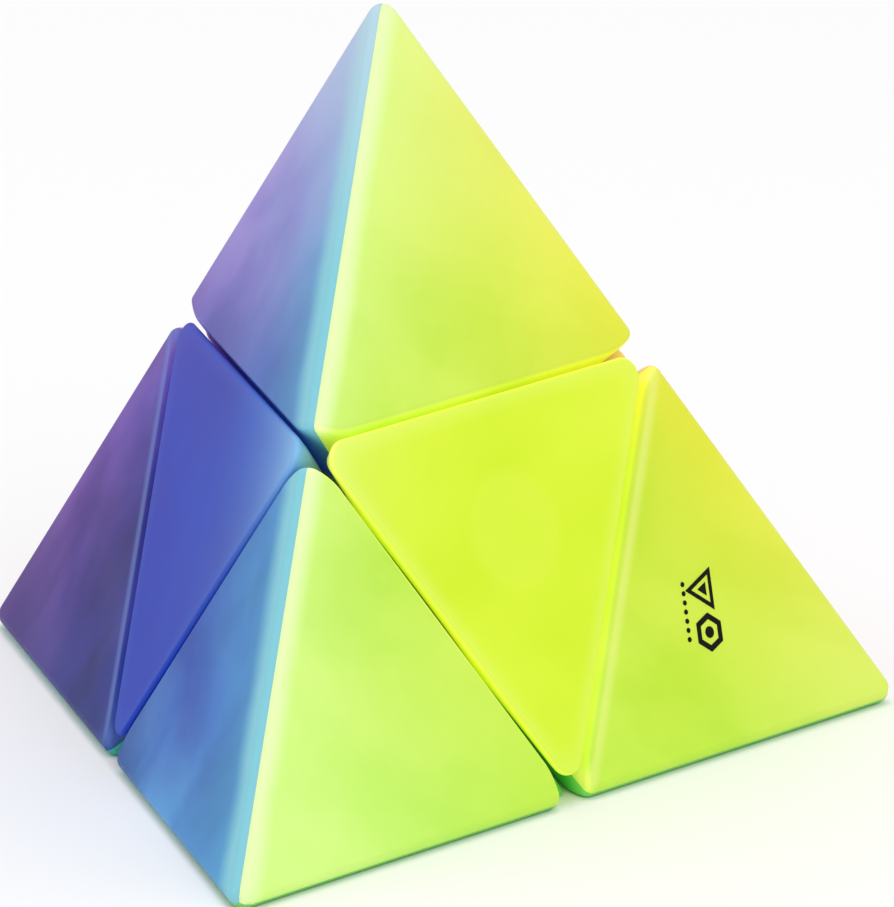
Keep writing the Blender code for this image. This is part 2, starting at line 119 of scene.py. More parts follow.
# Clouds and streaks in the plastic
CLOUD_DETAIL = 3.0
CLOUD_ROUGHNESS = 0.45
CLOUD_DISTORTION = 0.3
STREAK_CONTRAST = 5.0
STREAK_STRETCH = (1.0, 0.5, 1.7)
STREAK_TURN = (0.9, 0.5, 0.3)
VERTEX_CLOUDS = {"Size": 0.011, "Contrast": 4.0}
VERTEX_DRIFT = {"Size": 0.009, "Contrast": 3.0}
CENTRE_CLOUDS = {"Size": 0.014, "Contrast": 3.0, "Stretch": (1.0, 0.7, 1.3)}

# Satin skin
SKIN_DETAIL = 2.0
BROAD_SCALE = 90.0
SKIN_HEIGHT = 0.00002
JELLY_GRAIN = 0.00035
JELLY_UNEVENNESS = 0.10
JELLY_BUMP = 0.12

# Jelly plastic
JELLY_IOR = 1.47
JELLY_SPECULAR = 0.12
JELLY_SCATTER = 0.12
SCATTER_DEPTH = 0.0008        # of light under the skin of every plastic
# Painted highlights along the rims of the pieces
RIM_HIGHLIGHT_SHARE = 0.45
HIGHLIGHT_STRIPE_OUTER = (0.0007, 0.0014)   # painted highlight: pale stripe beside the front cut, from the cut outwards
HIGHLIGHT_STRIPE_INNER = (0.0002, 0.0006)
RIM_HIGHLIGHT_FADE = (0.0004, 0.0018)       # painted highlight: pale rim of a face-centre piece, in from its cuts
PAD_FADE = (0.75, 1.1)            # of the pad's radius
PAD_SHARE = 0.35

# Camera: its direction from the puzzle, its distance, its aim, and how far it stands to the side
CAMERA_AZIMUTH = math.radians(13.951)
CAMERA_ELEVATION = math.radians(17.290)
CAMERA_ROLL = math.radians(0.521)
CAMERA_DISTANCE = 1.0633
CAMERA_AIM = Vector((0, 0, 0.025))
SHIFT_ACROSS = -0.0051
SHIFT_UP = 0.0019
SENSOR_WIDTH = 36
FOCAL_LENGTH = 559.8

X = Vector((1, 0, 0))
Y = Vector((0, 1, 0))
Z = Vector((0, 0, 1))
DIAGONAL = Vector((1, 1, 1)).normalized()

# The turning axes as they lie in the standing puzzle
AXIS_FRONT = Vector((0, -math.sqrt(2 / 3), math.sqrt(1 / 3)))
AXIS_RIGHT = Vector((math.sqrt(1 / 2), math.sqrt(1 / 6), math.sqrt(1 / 3)))
AXIS_LEFT = Vector((-math.sqrt(1 / 2), math.sqrt(1 / 6), math.sqrt(1 / 3)))
MIDDLE = Vector((0, 0, FACE_DISTANCE))
STANDING = (Matrix.Translation(MIDDLE)
            @ Matrix((AXIS_FRONT, AXIS_RIGHT, AXIS_LEFT)).transposed().to_4x4())

# Turns that carry the apex and the base centre piece to the other places
HOMES = {
    "apex": Matrix.Identity(4),
    "front": Matrix.Rotation(math.pi, 4, "X"),
    "right": Matrix.Rotation(math.pi, 4, "Y"),
    "left": Matrix.Rotation(math.pi, 4, "Z"),
}
CYCLES = [Matrix.Rotation(math.tau * step / 3, 4, DIAGONAL) for step in range(3)]
FACE_SIDES = {"lime": (1, 1, -1), "blue": (1, -1, 1), "rose": (-1, 1, 1), "green": (-1, -1, -1)}
FACE_NORMALS = {colour: (STANDING.to_3x3() @ Vector(side)).normalized()
                for colour, side in FACE_SIDES.items()}


# ---------------------------------------------------------------- planes

def beyond(axis, distance):
    """The side of a plane that lies further out along an axis."""
    return -axis, -distance


def rolled(first, second, radius, steps):
    """Planes tangent to the fillet between two planes."""
    (normal_a, distance_a), (normal_b, distance_b) = first, second
    cosine = normal_a.dot(normal_b)
    share = 1 - cosine * cosine
    reach_a = ((distance_a - radius) - cosine * (distance_b - radius)) / share
    reach_b = ((distance_b - radius) - cosine * (distance_a - radius)) / share
    centre = normal_a * reach_a + normal_b * reach_b
    tangents = []
    for step in range(1, steps + 1):
        normal = normal_a.slerp(normal_b, step / (steps + 1))
        tangents.append((normal, normal.dot(centre) + radius))
    return tangents


def rolled_pairs(planes, radius, steps):
    """Fillets between each plane and the next, the last one with the first."""
    tangents = []
    for first, second in zip(planes, planes[1:] + planes[:1]):
        tangents += rolled(first, second, radius, steps)
    return tangents


def rolled_border(sides, tops, radius):
    """The small fillet all round a coloured face, over the rounded corners too."""
    tangents = []
    for side in sides:
        for top in tops:
            steps = round(side[0].angle(top[0]) / BORDER_FACET)
            tangents += rolled(side, top, radius, steps)
    return tangents


def corner_sides(cuts, face):
    """Planes round each corner of a face, leaning in by as much as the cuts beside it."""
    face_normal, face_distance = face
    sides = []
    for first, second in zip(cuts, cuts[1:] + cuts[:1]):
        sink = first[0].dot(face_normal)
        lean = math.sqrt(1 - sink * sink)
        inset = CENTRE_CORNER_ROUND * lean
        centre = (Matrix((first[0], second[0], face_normal)).inverted()
                  @ Vector((first[1] - inset, second[1] - inset, face_distance)))
        flat_a = (first[0] - face_normal * sink).normalized()
        flat_b = (second[0] - face_normal * sink).normalized()
        for step in range(1, CORNER_STEPS + 1):
            flat = flat_a.slerp(flat_b, step / (CORNER_STEPS + 1))
            normal = flat * lean + face_normal * sink
            sides.append((normal, normal.dot(centre) + inset))
    return sides


def vertex_planes(inset):
    """Cut faces and coloured faces of the apex piece, moved inwards by a wall."""
    cuts = [beyond(axis, SLIT / 2 + inset) for axis in (X, Y, Z)]
    faces = [((DIAGONAL * math.sqrt(3) - 2 * axis).normalized(), FACE_DISTANCE - inset)
             for axis in (X, Y, Z)]
    return cuts, faces


def centre_planes(inset):
    """Cut faces and the coloured face of the base centre piece, moved inwards by a wall."""
    cuts = [beyond(-axis, SLIT / 2 + inset) for axis in (X, Y, Z)]
    return cuts, [(-DIAGONAL, FACE_DISTANCE - inset)]


def tip_planes(faces):
    """Planes tangent to the ball in the tip, spread between the three coloured faces."""
    centre = DIAGONAL * 3 * (FACE_DISTANCE - TIP_ROUND)
    tangents = []
    for first in range(1, TIP_STEPS - 1):
        for second in range(1, TIP_STEPS - first):
            third = TIP_STEPS - first - second
            normal = faces[0][0] * first + faces[1][0] * second + faces[2][0] * third
            normal.normalize()
            tangents.append((normal, normal.dot(centre) + TIP_ROUND))
    return tangents


# ---------------------------------------------------------------- shaping

def only(piece):
    """Select one piece and nothing else."""
    bpy.ops.object.select_all(action="DESELECT")
    piece.select_set(True)
    bpy.context.view_layer.objects.active = piece


def carve(name, planes):
    """Slice a block back to each plane in turn, and close every cut."""
    bpy.ops.object.select_all(action="DESELECT")
    bpy.ops.mesh.primitive_cube_add(size=BLANK_SIZE)
    block = bpy.context.active_object
    block.name = name
    bpy.ops.object.mode_set(mode="EDIT")
    for normal, distance in planes:
        bpy.ops.mesh.select_all(action="SELECT")
        bpy.ops.mesh.bisect(plane_co=normal * distance, plane_no=normal, use_fill=True,
                            clear_outer=True, threshold=CUT_TOLERANCE)
    bpy.ops.mesh.select_all(action="SELECT")
    bpy.ops.mesh.remove_doubles(threshold=MERGE_DISTANCE)
    bpy.ops.mesh.dissolve_degenerate(threshold=MERGE_DISTANCE)
    bpy.ops.mesh.normals_make_consistent(inside=False)
    bpy.ops.object.mode_set(mode="OBJECT")
    return block


def take_out(piece, *cutters):
    """Subtract the cutters from a piece, and use them up."""
    for cutter in cutters:
        only(piece)
        bpy.ops.object.modifier_add(type="BOOLEAN")
        cut = piece.modifiers[-1]
        cut.operation = "DIFFERENCE"
        cut.solver = "EXACT"
        cut.object = cutter
        bpy.ops.object.modifier_apply(modifier=cut.name)
        bpy.data.objects.remove(cutter)


def seat_ball():
    """The ball that hollows out a seat for the dish of a foot."""
    bpy.ops.object.select_all(action="DESELECT")
    bpy.ops.mesh.primitive_ico_sphere_add(subdivisions=BALL_DETAIL, radius=SEAT_RADIUS)
    return bpy.context.active_object


def soften(piece):
    """Smooth shading over the roundings, with the flat faces kept flat."""
    only(piece)
    bpy.ops.object.shade_smooth_by_angle(angle=SMOOTH_ANGLE)
    bpy.ops.object.modifier_add(type="WEIGHTED_NORMAL")
    weighting = piece.modifiers[-1]
    weighting.keep_sharp = True
    weighting.weight = FLAT_FACE_WEIGHT
    bpy.ops.object.modifier_apply(modifier=weighting.name)


def vertex_shell():
    """The shell of the apex piece against the cut across Z, with its coloured face."""
    cuts, faces = vertex_planes(0)
    sides = cuts + rolled_pairs(cuts, AXIS_ROUND, AXIS_STEPS)
    tops = faces + rolled_pairs(faces, EDGE_ROUND, EDGE_STEPS)
    seams = [((Z - axis).normalized(), -SEAM / 2) for axis in (X, Y)]
    near = [plane for plane in sides if plane[0].dot(Z) < CUT_SIDE]
    above = [plane for plane in tops if plane[0].dot(faces[2][0]) > TOP_SIDE]
    shell = carve("vertex_shell", sides + tops + seams + tip_planes(faces)
                  + rolled_border(near, above, BORDER_ROUND))
    hollow_cuts, hollow_faces = vertex_planes(SHELL_WALL)
    take_out(shell, carve("hollow", hollow_cuts + hollow_faces), seat_ball())
    soften(shell)
    return shell


def centre_shell():
    """The one coloured shell of the base centre piece."""
    cuts, faces = centre_planes(0)
    sides = cuts + corner_sides(cuts, faces[0])
    shell = carve("centre_shell", sides + faces + rolled_pairs(cuts, CENTRE_AXIS_ROUND, AXIS_STEPS)
                  + rolled_border(sides, faces, CENTRE_BORDER_ROUND))
    hollow_cuts, hollow_faces = centre_planes(SHELL_WALL)
    take_out(shell, carve("hollow", hollow_cuts + hollow_faces), seat_ball())
    soften(shell)
    return shell


def place_copy(template, name, turn):
    """A copy of a piece with its own mesh, turned into place in the standing puzzle."""
    piece = template.copy()
    piece.data = template.data.copy()
    piece.name = name
    piece.data.name = name
    bpy.context.collection.objects.link(piece)
    piece.matrix_world = STANDING @ turn
    only(piece)
    bpy.ops.object.transform_apply(location=True, rotation=True, scale=True)
    return piece


# ---------------------------------------------------------------- finishes

def tint(code):
    """A colour written as six hexadecimal digits, as light values by the sRGB curve."""
    values = []
    for start in (0, 2, 4):
        value = int(code[start:start + 2], 16) / 255
        values.append(value / 12.92 if value <= 0.04045 else ((value + 0.055) / 1.055) ** 2.4)
    return (*values, 1)


def feed(tree, node, inputs):
    """Link or fill a node's inputs."""
    for key, value in inputs.items():
        if isinstance(value, bpy.types.NodeSocket):
            tree.links.new(value, node.inputs[key])
        else:
            node.inputs[key].default_value = value


def put(tree, kind, inputs, **settings):
    """Add a node, choose its settings, and link or fill its inputs."""
    node = tree.nodes.new(kind)
    for name, value in settings.items():
        setattr(node, name, value)
    feed(tree, node, inputs)
    return node


def calc(tree, operation, *values, clamp=False):
    """One step of arithmetic on numbers."""
    return put(tree, "ShaderNodeMath", dict(enumerate(values)),
               operation=operation, use_clamp=clamp).outputs[0]


def vector_calc(tree, operation, *values):
    """One step of arithmetic on vectors. Dot products and lengths come out as numbers."""
    node = put(tree, "ShaderNodeVectorMath", dict(enumerate(values)), operation=operation)
    return node.outputs["Value" if operation in ("DOT_PRODUCT", "LENGTH") else "Vector"]


def blend_colour(tree, share, first, second, mode="MIX"):
    """Blend a share of the second colour into the first."""
    node = put(tree, "ShaderNodeMix", {0: share, 6: first, 7: second},
               data_type="RGBA", blend_type=mode, clamp_factor=True)
    return node.outputs[2]


def fade(tree, value, start, end):
    """One before start, nothing after end, and smooth between them."""
    node = put(tree, "ShaderNodeMapRange",
               {"Value": value, "From Min": start, "From Max": end, "To Min": 1.0, "To Max": 0.0},
               interpolation_type="SMOOTHSTEP")
    return node.outputs["Result"]


def new_group(name, inputs, outputs):
    """A shader node group with named inputs, given as label: (kind, value), and outputs."""
    group = bpy.data.node_groups.new(name, "ShaderNodeTree")
    for label, (kind, value) in inputs.items():
        socket = group.interface.new_socket(label, in_out="INPUT", socket_type=kind)
        if value is not None:
            socket.default_value = value
    for label, kind in outputs.items():
        group.interface.new_socket(label, in_out="OUTPUT", socket_type=kind)
    return group, group.nodes.new("NodeGroupInput").outputs, group.nodes.new("NodeGroupOutput")


NUMBER, COLOUR, VECTOR = "NodeSocketFloat", "NodeSocketColor", "NodeSocketVector"


def place_group():
    """Where a point lies: from the middle of the puzzle, and in from the cut faces."""
    group, _, leave = new_group("turning_place", {}, {"Place": VECTOR, "Cut Depth": NUMBER})
    there = put(group, "ShaderNodeTexCoord", {}).outputs["Object"]
    place = vector_calc(group, "SUBTRACT", there, MIDDLE)
    along = [calc(group, "ABSOLUTE", vector_calc(group, "DOT_PRODUCT", place, axis))
             for axis in (AXIS_FRONT, AXIS_RIGHT, AXIS_LEFT)]
    shared = put(group, "ShaderNodeCombineXYZ", dict(enumerate(along))).outputs[0]
    inner = vector_calc(group, "SUBTRACT", (AXIS_ROUND,) * 3, shared)
    inner = vector_calc(group, "MAXIMUM", inner, (0, 0, 0))
    depth = calc(group, "SUBTRACT", AXIS_ROUND, vector_calc(group, "LENGTH", inner))
    group.links.new(place, leave.inputs["Place"])
    group.links.new(depth, leave.inputs["Cut Depth"])
    return group


def depth_below(group, place, face):
    """How far a point lies in from a coloured face."""
    return calc(group, "SUBTRACT", FACE_DISTANCE, vector_calc(group, "DOT_PRODUCT", place, face))


def glow_group():
    """Painted glow: colour that shines in from the next face of a glued piece, a clear band, then a
    long fade.
    """
    group, enter, leave = new_group("edge_glow", {
        "Colour": (COLOUR, None), "Place": (VECTOR, None), "Next Face": (VECTOR, None),
        "Band Colour": (COLOUR, None), "Band Width": (NUMBER, 0.001), "Band Share": (NUMBER, 0.5),
        "Glow Colour": (COLOUR, None), "Glow Reach": (NUMBER, 0.01), "Glow Share": (NUMBER, 0.5),
        "Waver": (NUMBER, 0.0)},
        {"Colour": COLOUR})
    depth = depth_below(group, enter["Place"], enter["Next Face"])
    swing = calc(group, "MULTIPLY", depth, calc(group, "MULTIPLY", enter["Waver"], GLOW_WAVER))
    reach = calc(group, "DIVIDE", calc(group, "ADD", depth, swing), enter["Glow Reach"])
    reach = calc(group, "MAXIMUM", reach, 0.0)
    glow = calc(group, "EXPONENT", calc(group, "MULTIPLY", reach, -1.0))
    glow = calc(group, "MULTIPLY", glow, enter["Glow Share"])
    colour = blend_colour(group, glow, enter["Colour"], enter["Glow Colour"])
    edge = calc(group, "ADD", calc(group, "DIVIDE", depth, enter["Band Width"]),
                calc(group, "MULTIPLY", enter["Waver"], BAND_WAVER))
    band = fade(group, edge, *BAND_FADE)
    band = calc(group, "MULTIPLY", band, enter["Band Share"])
    colour = blend_colour(group, band, colour, enter["Band Colour"])
    group.links.new(colour, leave.inputs["Colour"])
    return group


def wall_group():
    """Light that comes through the plastic into the slits: a filtered shade on the cut walls only."""
    group, enter, leave = new_group("wall_light", {
        "Colour": (COLOUR, None), "Filter": (COLOUR, None), "Own Face": (VECTOR, None),
        "Cut Depth": (NUMBER, 0.0)},
        {"Colour": COLOUR})
    normal = put(group, "ShaderNodeTexCoord", {}).outputs["Normal"]
    facing = vector_calc(group, "DOT_PRODUCT", normal, enter["Own Face"])
    wall = fade(group, facing, *WALL_TURN)
    wall = calc(group, "MULTIPLY", wall, fade(group, enter["Cut Depth"], *WALL_DEPTH))
    filtered = blend_colour(group, 1.0, enter["Colour"], enter["Filter"], mode="MULTIPLY")
    lit = blend_colour(group, wall, (0, 0, 0, 1), filtered)
    group.links.new(lit, leave.inputs["Colour"])
    return group


def painted_light_end_group():
    """Painted light and shade: change of colour towards the end that lies far from one face and close
    to another.
    """
    group, enter, leave = new_group("painted_light_end", {
        "Colour": (COLOUR, None), "Place": (VECTOR, None), "Far From": (VECTOR, None),
        "Start": (NUMBER, 0.03), "End": (NUMBER, 0.06), "Close To": (VECTOR, (0, 0, 0)),
        "Close Reach": (NUMBER, 1.0), "End Colour": (COLOUR, None), "Share": (NUMBER, 0.5)},
        {"Colour": COLOUR})
    far = depth_below(group, enter["Place"], enter["Far From"])
    amount = calc(group, "SUBTRACT", 1.0, fade(group, far, enter["Start"], enter["End"]))
    close = depth_below(group, enter["Place"], enter["Close To"])
    close = calc(group, "DIVIDE", close, enter["Close Reach"])
    amount = calc(group, "MULTIPLY", amount, fade(group, close, *CLOSE_FADE))
    amount = calc(group, "MULTIPLY", amount, enter["Share"])
    colour = blend_colour(group, amount, enter["Colour"], enter["End Colour"])
    group.links.new(colour, leave.inputs["Colour"])
    return group


def cloud_group():
    """Soft streaks and clouds in the moulded plastic, from 0 to 1, round 0.5."""
    group, enter, leave = new_group("mould_clouds", {
        "Place": (VECTOR, None), "Size": (NUMBER, 0.01), "Stretch": (VECTOR, (1, 1, 1)),
        "Turn": (VECTOR, (0, 0, 0)), "Contrast": (NUMBER, 1.0)},
        {"Clouds": NUMBER})
    turned = put(group, "ShaderNodeMapping", {"Vector": enter["Place"], "Rotation": enter["Turn"]})
    drawn = put(group, "ShaderNodeMapping", {"Vector": turned.outputs[0], "Scale": enter["Stretch"]})
    scale = calc(group, "DIVIDE", 1.0, enter["Size"])
    noise = put(group, "ShaderNodeTexNoise",
                {"Vector": drawn.outputs[0], "Scale": scale, "Detail": CLOUD_DETAIL,
                 "Roughness": CLOUD_ROUGHNESS, "Distortion": CLOUD_DISTORTION}, normalize=True)
    centred = calc(group, "SUBTRACT", noise.outputs[0], 0.5)
    value = calc(group, "MULTIPLY_ADD", centred, enter["Contrast"], 0.5, clamp=True)
    group.links.new(value, leave.inputs["Clouds"])
    return group


def satin_group():
    """The fine satin skin of moulded plastic: its roughness and its height."""
    group, enter, leave = new_group("satin_skin", {
        "Roughness": (NUMBER, 0.4), "Unevenness": (NUMBER, 0.06), "Grain Size": (NUMBER, 0.0003)},
        {"Roughness": NUMBER, "Height": NUMBER})
    there = put(group, "ShaderNodeTexCoord", {}).outputs["Object"]
    scale = calc(group, "DIVIDE", 1.0, enter["Grain Size"])
    grain = put(group, "ShaderNodeTexNoise",
                {"Vector": there, "Scale": scale, "Detail": SKIN_DETAIL})
    broad = put(group, "ShaderNodeTexNoise",
                {"Vector": there, "Scale": BROAD_SCALE, "Detail": SKIN_DETAIL})
    centred = calc(group, "SUBTRACT", broad.outputs[0], 0.5)
    drift = calc(group, "MULTIPLY", centred, enter["Unevenness"])
    group.links.new(calc(group, "ADD", enter["Roughness"], drift), leave.inputs["Roughness"])
    group.links.new(grain.outputs[0], leave.inputs["Height"])
    return group


def use(tree, group, inputs):
    """Place a node group in a material."""
    node = tree.nodes.new("ShaderNodeGroup")
    node.node_tree = group
    feed(tree, node, inputs)
    return node.outputs


def new_finish(name, display):
    """A material with its shader, ready for its nodes."""
    finish = bpy.data.materials.new(name)
    finish.use_nodes = True
    finish.diffuse_color = display
    shader = finish.node_tree.nodes["Principled BSDF"]
    return finish, finish.node_tree, shader


PLACE = place_group()
GLOW = glow_group()
WALL_LIGHT = wall_group()
PAINTED_LIGHT_END = painted_light_end_group()
CLOUDS = cloud_group()
SATIN = satin_group()


def satin_skin(tree, shader, roughness, unevenness, grain, strength):
    """Drive a shader's roughness and surface from the satin skin."""
    skin = use(tree, SATIN, {"Roughness": roughness, "Unevenness": unevenness, "Grain Size": grain})
    bump = put(tree, "ShaderNodeBump",
               {"Strength": strength, "Distance": SKIN_HEIGHT, "Height": skin["Height"]})
    tree.links.new(skin["Roughness"], shader.inputs["Roughness"])
    tree.links.new(bump.outputs[0], shader.inputs["Normal"])


def jelly_shader(shader):
    """Settings that all the coloured plastics share."""
    shader.inputs["IOR"].default_value = JELLY_IOR
    shader.inputs["Specular IOR Level"].default_value = JELLY_SPECULAR
    shader.inputs["Subsurface Weight"].default_value = JELLY_SCATTER
    shader.inputs["Subsurface Radius"].default_value = (1.0, 1.0, 1.0)
    shader.inputs["Subsurface Scale"].default_value = SCATTER_DEPTH


# Colours of the glued vertex shells, with the layers that lie over them, from the lowest up.
# Streaks give their size and depth. A painted glow gives the neighbour that shines in, its clear
# band's colour, width and share, and its long fade's colour, reach and share. An end, painted
# light and shade, gives the face that it lies far from, where the change starts and ends, the
# face it lies close to with its reach, and its colour and share.
ANYWHERE = (None, 1.0)
VERTEX_COLOURS = {
    "lime": {
        "body": "CBEF58", "deep": "BDE840", "rim": "EEF590", "filter": "FFDC90",
        "wall": 0.30,
        "layers": [
            ("glow", "rose", ("EEEE74", 0.0008, 0.50), ("ECE94A", 0.0130, 0.95)),
            ("glow", "green", ("C8F070", 0.0008, 0.40), ("BCEC48", 0.0060, 0.60)),
            ("end", "green", (0.030, 0.064), ANYWHERE, ("EEF6A0", 0.60)),
            ("end", "rose", (0.028, 0.056), ANYWHERE, ("DCFF9C", 0.65)),
            ("end", "blue", (0.036, 0.060), ANYWHERE, ("E0F27C", 0.55)),
            ("streaks", 0.014, 0.30),
            ("glow", "blue", ("E6FDB6", 0.0019, 0.95), ("D8FA90", 0.0060, 0.80)),
        ]},
    "blue": {
        "body": "2A52BC", "deep": "223AA8", "rim": "6C88D0", "filter": "A8B4DC",
        "wall": 0.12,
        "layers": [
            ("glow", "green", ("4791D0", 0.0008, 0.20), ("64B0E6", 0.0046, 0.90)),
            ("end", "lime", (0.017, 0.034), ("green", 0.026), ("000478", 0.90)),
            ("glow", "rose", ("9470BC", 0.0030, 0.25), ("8650B0", 0.0095, 0.78)),
            ("end", "lime", (0.042, 0.056), ("green", 0.020), ("241060", 0.60)),
            ("end", "green", (0.022, 0.056), ANYWHERE, ("D6D4F6", 0.58)),
            ("end", "green", (0.028, 0.042), ("rose", 0.018), ("B088E0", 0.45)),
            ("streaks", 0.013, 0.45),
            ("glow", "lime", ("88CEDA", 0.0032, 0.90), ("54AAD2", 0.0080, 0.95)),
            ("end", "green", (0.038, 0.062), ANYWHERE, ("D8DEEC", 0.55)),
        ]},
    "rose": {
        "body": "E0508C", "deep": "CC3A7A", "rim": "F4A8C4", "filter": "E0A0A8",
        "wall": 0.10,
        "layers": [
            ("glow", "green", ("B47888", 0.0008, 0.35), ("B0607E", 0.0070, 0.50)),
            ("glow", "blue", ("A474C4", 0.0030, 0.80), ("A05CB8", 0.0080, 0.95)),
            ("end", "green", (0.026, 0.060), ANYWHERE, ("F8C4D4", 0.50)),
            ("streaks", 0.014, 0.35),
            ("glow", "lime", ("F2E27C", 0.0024, 0.95), ("F0A870", 0.0060, 0.90)),
        ]},
    "green": {
        "body": "2CB45A", "deep": "209C48", "rim": "84DCA0", "filter": "A0DCB0",
        "wall": 0.15,
        "layers": [
            ("glow", "rose", ("8CB080", 0.0012, 0.50), ("70A060", 0.0070, 0.70)),
            ("glow", "blue", ("48B0B0", 0.0030, 0.70), ("34A090", 0.0080, 0.80)),
            ("streaks", 0.014, 0.35),
            ("glow", "lime", ("8CE064", 0.0020, 0.65), ("66D050", 0.0080, 0.80)),
        ]},
}

# Colours of the face-centre shells. Each neighbour gives the colour, the reach and the share of
# the painted glow at the corner beside it.
CENTRE_COLOURS = {
    "lime": {
        "body": "DCF43C", "deep": "D2EE2C", "pad": "E0F452", "rim": "E2F66C",
        "filter": "FFDC90", "wall": 0.30,
        "next": {"blue": ("E8FA8C", 0.0040, 0.9), "rose": ("E8F050", 0.0050, 0.6),
                 "green": ("D0F450", 0.0040, 0.6)}},
    "blue": {
        "body": "0E36B6", "deep": "202EA8", "pad": "1838B8", "rim": "2C50C0",
        "filter": "A8B4DC", "wall": 0.12,
        "next": {"rose": ("5C48B0", 0.0080, 0.6), "green": ("1444B8", 0.0060, 0.6),
                 "lime": ("9CDCFA", 0.0052, 1.0)}},
    "rose": {
        "body": "DC3C7C", "deep": "C42C68", "pad": "E25890", "rim": "E66C9C",
        "filter": "E0A0A8", "wall": 0.08,
        "next": {"green": ("B06060", 0.0050, 0.6), "blue": ("7C54B4", 0.0130, 1.0),
                 "lime": ("F0EC62", 0.0080, 1.0)}},
    "green": {
        "body": "22A84C", "deep": "18903C", "pad": "3CB860", "rim": "58C474",
        "filter": "A0DCB0", "wall": 0.15,
        "next": {"rose": ("80A060", 0.0050, 0.6), "blue": ("30A0A0", 0.0060, 0.7),
                 "lime": ("90E050", 0.0050, 0.8)}},
}


def light_the_walls(tree, shader, base, where, colour, shades):
    """Let light shine through into the slits beside a piece."""
    lit = use(tree, WALL_LIGHT, {
        "Colour": base, "Filter": tint(shades["filter"]), "Own Face": FACE_NORMALS[colour],
        "Cut Depth": where["Cut Depth"]})
    tree.links.new(lit["Colour"], shader.inputs["Emission Color"])
    shader.inputs["Emission Strength"].default_value = shades["wall"]


def let_in(tree, base, place, swing, neighbour, band, glow):
    """Add one neighbour's painted band and glow to a colour."""
    band_tone, width, band_share = band
    tone, reach, share = glow
    return use(tree, GLOW, {
        "Colour": base, "Place": place, "Next Face": FACE_NORMALS[neighbour],
        "Band Colour": tint(band_tone), "Band Width": width, "Band Share": band_share,
        "Glow Colour": tint(tone), "Glow Reach": reach, "Glow Share": share,
        "Waver": swing})["Colour"]


def paint_light_and_shade_at_end(tree, base, place, far_from, span, close_to, shade):
    """Paint light and shade into a colour towards one end of the puzzle."""
    (start, end), (tone, share) = span, shade
    face, reach = close_to
    return use(tree, PAINTED_LIGHT_END, {
        "Colour": base, "Place": place, "Far From": FACE_NORMALS[far_from],
        "Start": start, "End": end, "Close Reach": reach,
        "Close To": FACE_NORMALS[face] if face else (0, 0, 0),
        "End Colour": tint(tone), "Share": share})["Colour"]


def streak(tree, base, place, size, share):
    """Deepen a colour along the flow streaks of the moulding."""
    streaks = use(tree, CLOUDS, {"Place": place, "Size": size, "Contrast": STREAK_CONTRAST,
                                 "Stretch": STREAK_STRETCH, "Turn": STREAK_TURN})
    amount = calc(tree, "MULTIPLY", streaks["Clouds"], share)
    return blend_colour(tree, amount, base, base, mode="MULTIPLY")


def vertex_finish(colour):
    """Jelly plastic of a glued vertex shell, with its neighbours' colours shining in as painted glow.
    """
    shades = VERTEX_COLOURS[colour]
    finish, tree, shader = new_finish("jelly_" + colour, tint(shades["body"]))
    where = use(tree, PLACE, {})
    clouds = use(tree, CLOUDS, {"Place": where["Place"], **VERTEX_CLOUDS})
    drift = use(tree, CLOUDS, {"Place": where["Place"], **VERTEX_DRIFT})
    swing = calc(tree, "SUBTRACT", drift["Clouds"], 0.5)
    base = blend_colour(tree, clouds["Clouds"], tint(shades["body"]), tint(shades["deep"]))
    for kind, *layer in shades["layers"]:
        if kind == "streaks":
            base = streak(tree, base, where["Place"], *layer)
        elif kind == "glow":
            # Painted glow from one neighbour.
            base = let_in(tree, base, where["Place"], swing, *layer)
        else:
            # Painted light and shade towards one end.
            base = paint_light_and_shade_at_end(tree, base, where["Place"], *layer)
    # Painted highlight: a pale stripe on the rim beside the front cut.
    beside = calc(tree, "ABSOLUTE", vector_calc(tree, "DOT_PRODUCT", where["Place"], AXIS_FRONT))
    highlight_stripe = calc(tree, "SUBTRACT", fade(tree, beside, *HIGHLIGHT_STRIPE_OUTER),
                  fade(tree, beside, *HIGHLIGHT_STRIPE_INNER))
    highlight_stripe = calc(tree, "MULTIPLY", highlight_stripe, RIM_HIGHLIGHT_SHARE)
    base = blend_colour(tree, highlight_stripe, base, tint(shades["rim"]))
    tree.links.new(base, shader.inputs["Base Color"])
    light_the_walls(tree, shader, base, where, colour, shades)
    satin_skin(tree, shader, 0.42, JELLY_UNEVENNESS, JELLY_GRAIN, JELLY_BUMP)
    jelly_shader(shader)
    return finish


